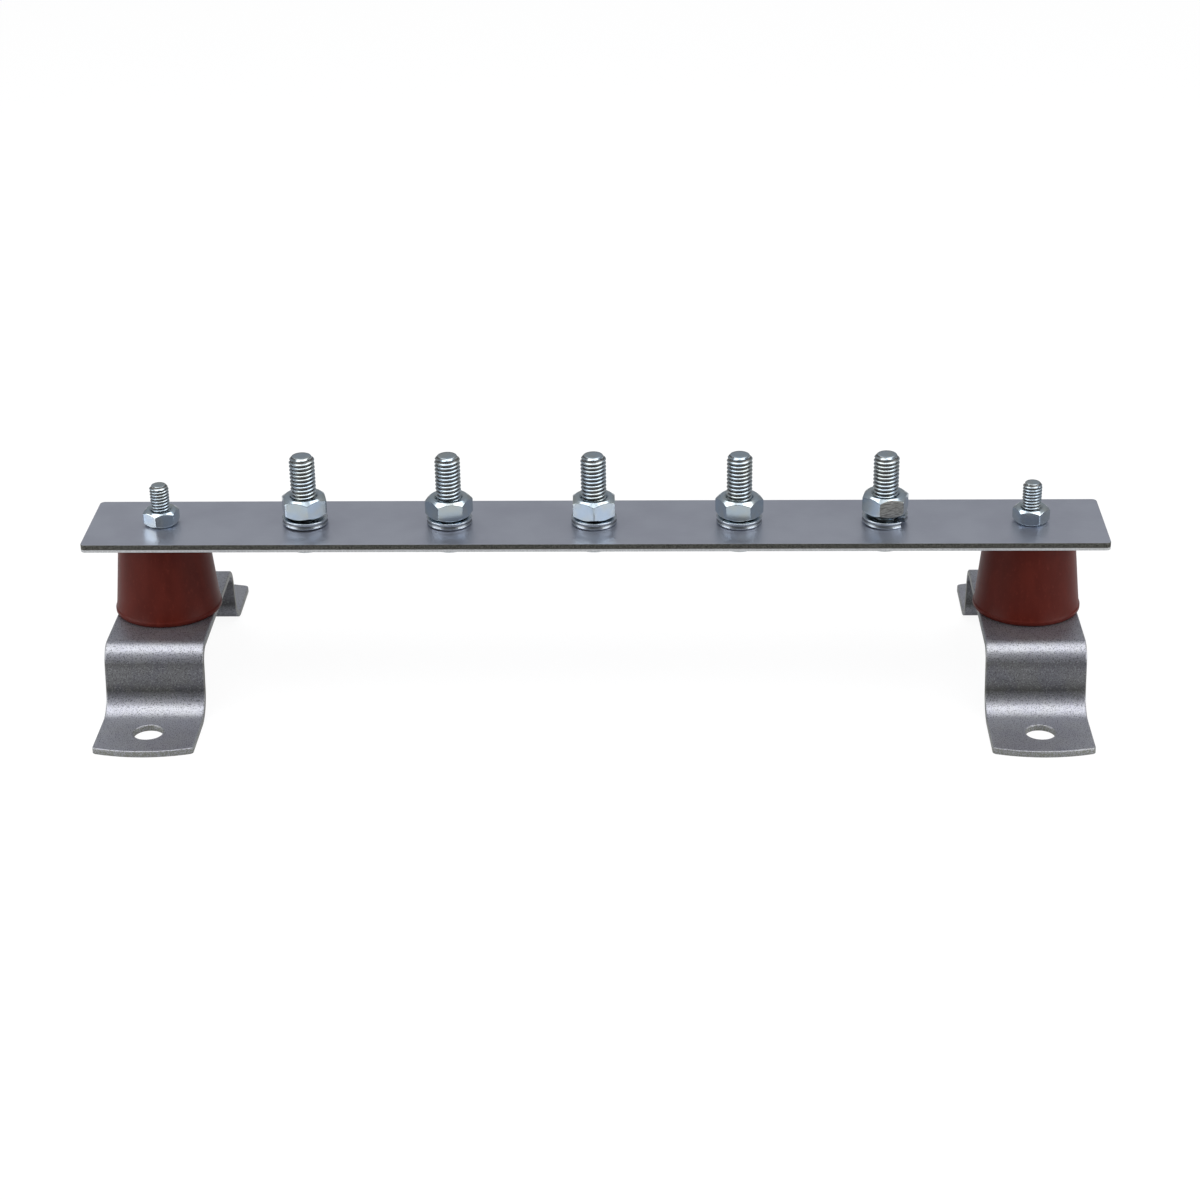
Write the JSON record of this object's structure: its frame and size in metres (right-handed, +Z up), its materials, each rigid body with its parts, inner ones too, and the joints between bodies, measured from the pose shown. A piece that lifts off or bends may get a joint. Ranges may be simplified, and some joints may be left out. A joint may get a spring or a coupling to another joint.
{
  "type": "earth terminal bar",
  "caption": "Flat plated bar with a row of upright screw terminals, held off its fixing plane by cone-shaped insulators on bent strip brackets.",
  "frame": {"origin": "midway between the brackets, on the plane that the feet stand on", "axes": "+X along the bar, +Y across it towards the back, +Z up along the terminal screws"},
  "size_m": [0.315, 0.12, 0.073],
  "materials": {
    "plated_bar": "dull zinc plate",
    "bright_zinc": "bright zinc plate",
    "spring_steel": "zinc plated spring steel",
    "galvanised_strip": "speckled galvanised",
    "resin": "semi-gloss moulded resin",
    "brass_insert": "machined"
  },
  "bodies": {
    "root": {"terminal_bar": "plated_bar", "terminal_bolt_1": "bright_zinc", "spring_washer_1": "spring_steel", "terminal_nut_1": "bright_zinc", "terminal_bolt_2": "bright_zinc", "spring_washer_2": "spring_steel", "terminal_nut_2": "bright_zinc", "terminal_bolt_3": "bright_zinc", "spring_washer_3": "spring_steel", "terminal_nut_3": "bright_zinc", "terminal_bolt_4": "bright_zinc", "spring_washer_4": "spring_steel", "terminal_nut_4": "bright_zinc", "terminal_bolt_5": "bright_zinc", "spring_washer_5": "spring_steel", "terminal_nut_5": "bright_zinc", "bracket_left": "galvanised_strip", "bracket_screw_left": "bright_zinc", "insulator_left": "resin", "lower_insert_left": "brass_insert", "upper_insert_left": "brass_insert", "bar_stud_left": "bright_zinc", "bar_nut_left": "bright_zinc", "bracket_right": "galvanised_strip", "bracket_screw_right": "bright_zinc", "insulator_right": "resin", "lower_insert_right": "brass_insert", "upper_insert_right": "brass_insert", "bar_stud_right": "bright_zinc", "bar_nut_right": "bright_zinc"}
  },
  "joints": []
}
